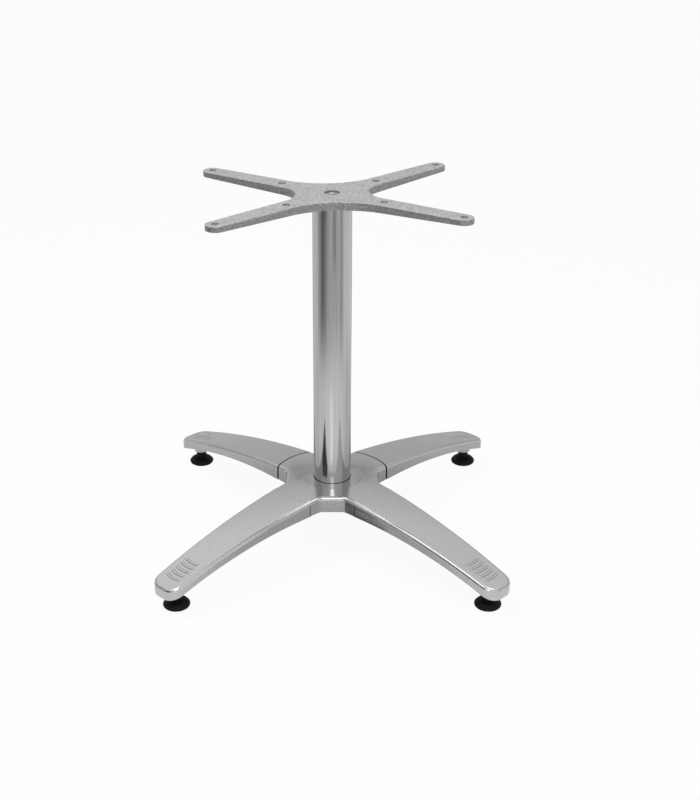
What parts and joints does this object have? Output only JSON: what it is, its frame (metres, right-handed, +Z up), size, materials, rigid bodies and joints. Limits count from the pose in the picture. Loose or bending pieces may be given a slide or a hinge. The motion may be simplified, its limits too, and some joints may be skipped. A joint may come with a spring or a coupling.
{
  "type": "table base",
  "caption": "Pedestal table base with arched cast legs on a round hub, a tubular column, a flat top spider for the table top and screw-in levelling feet.",
  "frame": {"origin": "on the floor, on the column's axis", "axes": "+Z up along the column, -Y towards the front, between two legs"},
  "size_m": [0.6738, 0.6738, 0.725],
  "materials": {
    "polished_aluminium": "polished",
    "raw_cast_aluminium": "raw sand cast, grainy",
    "zinc_plated_steel": "bright zinc plated",
    "black_plastic": "moulded, satin"
  },
  "bodies": {
    "base": {"hub_casting": "polished_aluminium", "column_tube": "polished_aluminium", "top_spider": "raw_cast_aluminium", "tie_rod": "zinc_plated_steel", "tie_rod_washer": "zinc_plated_steel", "tie_rod_nut": "zinc_plated_steel", "front_left_leg": "polished_aluminium", "front_left_leg_bolts": "zinc_plated_steel", "front_left_leg_washers": "zinc_plated_steel", "front_right_leg": "polished_aluminium", "front_right_leg_bolts": "zinc_plated_steel", "front_right_leg_washers": "zinc_plated_steel", "rear_left_leg": "polished_aluminium", "rear_left_leg_bolts": "zinc_plated_steel", "rear_left_leg_washers": "zinc_plated_steel", "rear_right_leg": "polished_aluminium", "rear_right_leg_bolts": "zinc_plated_steel", "rear_right_leg_washers": "zinc_plated_steel"},
    "front_left_foot": {"front_left_foot_pad": "black_plastic", "front_left_foot_stud": "zinc_plated_steel"},
    "front_right_foot": {"front_right_foot_pad": "black_plastic", "front_right_foot_stud": "zinc_plated_steel"},
    "rear_left_foot": {"rear_left_foot_pad": "black_plastic", "rear_left_foot_stud": "zinc_plated_steel"},
    "rear_right_foot": {"rear_right_foot_pad": "black_plastic", "rear_right_foot_stud": "zinc_plated_steel"}
  },
  "joints": [
    {"name": "front_left_foot_screw", "type": "slide", "parent": "base", "child": "front_left_foot", "axis": [0, 0, 1], "range_m": [-0.006, 0.005]},
    {"name": "front_right_foot_screw", "type": "slide", "parent": "base", "child": "front_right_foot", "axis": [0, 0, 1], "range_m": [-0.006, 0.005]},
    {"name": "rear_left_foot_screw", "type": "slide", "parent": "base", "child": "rear_left_foot", "axis": [0, 0, 1], "range_m": [-0.006, 0.005]},
    {"name": "rear_right_foot_screw", "type": "slide", "parent": "base", "child": "rear_right_foot", "axis": [0, 0, 1], "range_m": [-0.006, 0.005]}
  ]
}
